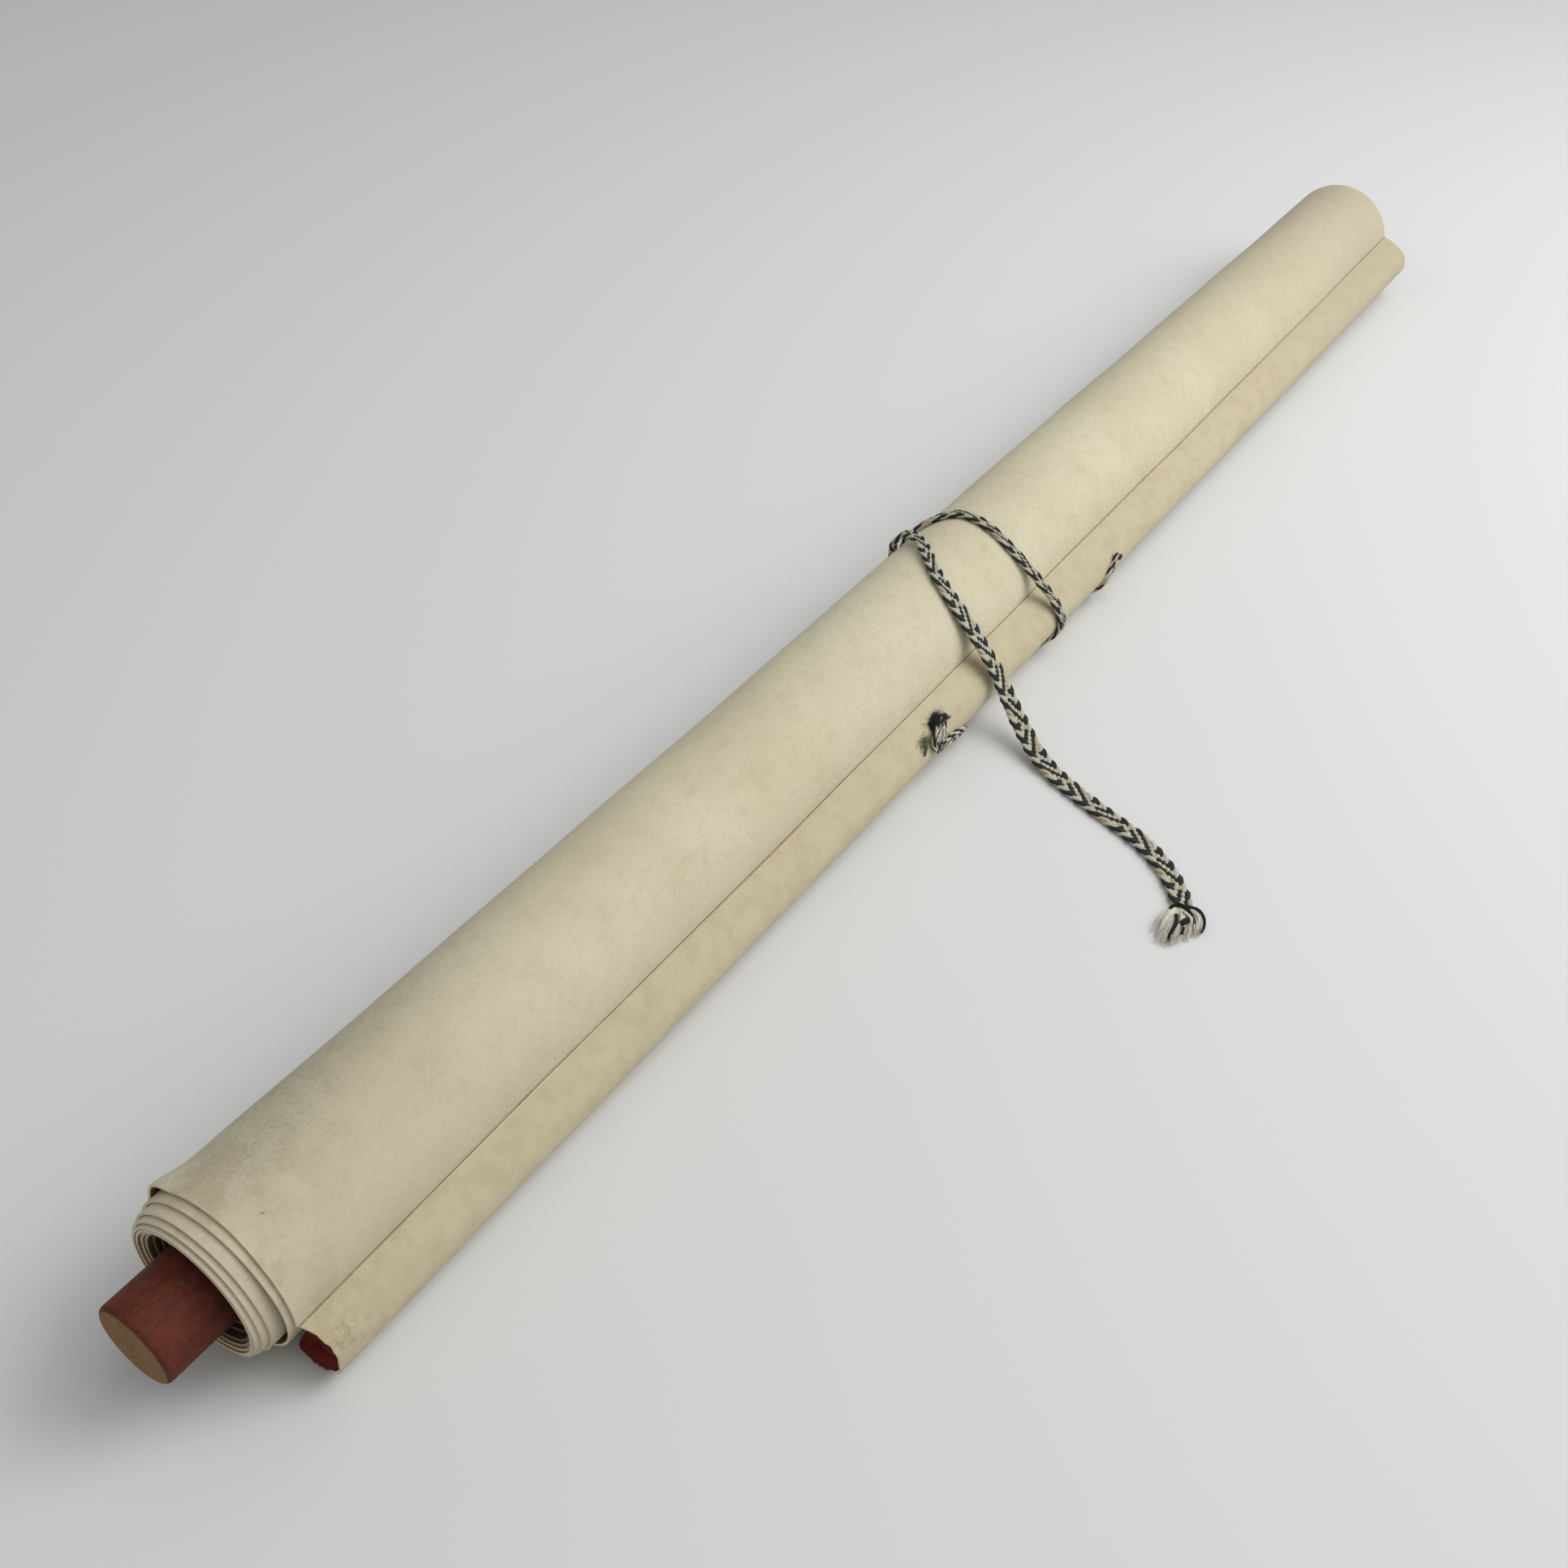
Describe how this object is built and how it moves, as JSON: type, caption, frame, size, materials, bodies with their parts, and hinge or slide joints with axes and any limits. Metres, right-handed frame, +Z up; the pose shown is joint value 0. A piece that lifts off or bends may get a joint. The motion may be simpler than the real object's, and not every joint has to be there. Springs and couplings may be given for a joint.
{
  "type": "paper scroll",
  "caption": "Rolled paper scroll on a wooden roller with turned end knobs, a half-round rod in the outer end and a braided tie cord wound round it.",
  "frame": {"origin": "on the table under the middle of the scroll's bounding box, without the cords", "axes": "+X along the roll from the near end to the far end, +Z up, the half-round rod on the -Y side"},
  "size_m": [0.7512, 0.1532, 0.0486],
  "materials": {
    "mounted_paper": "matte",
    "roller_wood": "matte",
    "knob_wood": "matte",
    "rod_wood": "satin",
    "eyelet_wire": "dull",
    "braided_cord": "matte"
  },
  "bodies": {
    "root": {"paper_sheet": "mounted_paper", "roller_rod": "roller_wood", "near_end_knob": "knob_wood", "far_end_knob": "knob_wood", "top_rod": "rod_wood", "near_eyelet": "eyelet_wire", "far_eyelet": "eyelet_wire", "hanging_cord": "braided_cord", "winding_cord": "braided_cord"}
  },
  "joints": []
}
